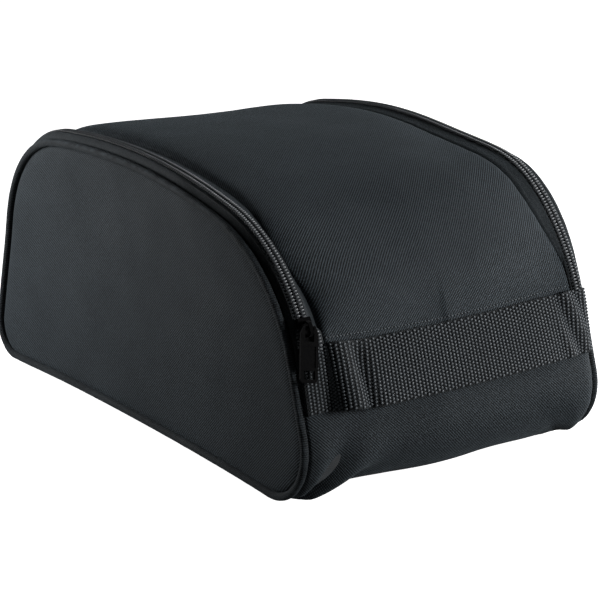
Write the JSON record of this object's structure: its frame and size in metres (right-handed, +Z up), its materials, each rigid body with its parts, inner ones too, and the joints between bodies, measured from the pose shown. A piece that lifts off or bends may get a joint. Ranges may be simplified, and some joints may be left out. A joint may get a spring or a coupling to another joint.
{
  "type": "shoe bag",
  "caption": "Zip-top shoe bag: flat piped sides, curved lid on a U-shaped coil zip, one slider with a pull, and a webbing carry strap across the front.",
  "frame": {"origin": "middle of the base, on the face that the bag stands on", "axes": "+Z up; -Y is the front with the carry strap; +X is the bag's right side as seen from the front's outside with +Y away"},
  "size_m": [0.205, 0.3488, 0.1613],
  "materials": {
    "twill_cloth": "coated polyester twill, dull",
    "piping_cloth": "same cloth, bias cut over a cord",
    "lining_cloth": "plain-weave lining",
    "binding_tape": "woven seam binding",
    "zip_tape": "woven zip tape",
    "webbing": "ribbed polyester webbing",
    "filler_cord": "soft round filler cord",
    "zip_coil": "nylon coil, slight sheen",
    "foam": "closed-cell foam sheet",
    "board": "flexible base board",
    "slider_metal": "black lacquered zinc"
  },
  "bodies": {
    "root": {"left_side_panel": "twill_cloth", "left_side_foam": "foam", "left_side_lining": "lining_cloth", "left_piping_cover": "piping_cloth", "left_piping_cord": "filler_cord", "left_seam_binding": "binding_tape", "handle_end_left": "webbing", "right_side_panel": "twill_cloth", "right_side_foam": "foam", "right_side_lining": "lining_cloth", "right_piping_cover": "piping_cloth", "right_piping_cord": "filler_cord", "right_seam_binding": "binding_tape", "handle_end_right": "webbing", "gusset_panel": "twill_cloth", "gusset_lining": "lining_cloth", "base_board": "board", "zip_band_outer": "twill_cloth", "zip_band_front_ends": "twill_cloth", "zip_tape_outer": "zip_tape", "zip_tape_front_ends": "zip_tape", "zip_coil_outer": "zip_coil", "zip_coil_front_ends": "zip_coil", "lid_front_strip": "twill_cloth", "lid_front_lining": "lining_cloth"},
    "lid": {"lid_panel": "twill_cloth", "lid_foam": "foam", "lid_lining": "lining_cloth", "zip_band_inner": "twill_cloth", "zip_tape_inner": "zip_tape", "zip_coil_inner": "zip_coil"},
    "slider": {"slider_body": "slider_metal", "slider_back_plate": "slider_metal", "slider_bridge": "slider_metal"},
    "pull": {"pull_tab": "slider_metal"},
    "handle": {"handle_strap": "webbing"}
  },
  "joints": [
    {"name": "lid_fold", "type": "hinge", "parent": "root", "child": "lid", "pos_m": [0, -0.14802, 0.11272], "axis": [1, 0, 0], "range_deg": [0, 110]},
    {"name": "slider_travel", "type": "hinge", "parent": "root", "child": "slider", "pos_m": [-0.091, -0.06744, 0.05417], "axis": [-1, 0, 0], "range_deg": [0, 46]},
    {"name": "pull_swing", "type": "hinge", "parent": "slider", "child": "pull", "pos_m": [-0.091, -0.15873, 0.10272], "axis": [-0.9781, 0.0976, 0.1836], "range_deg": [0, 90]},
    {"name": "handle_lift", "type": "slide", "parent": "root", "child": "handle", "axis": [0, -0.9613, 0.2756], "range_m": [0, 0.026]}
  ]
}
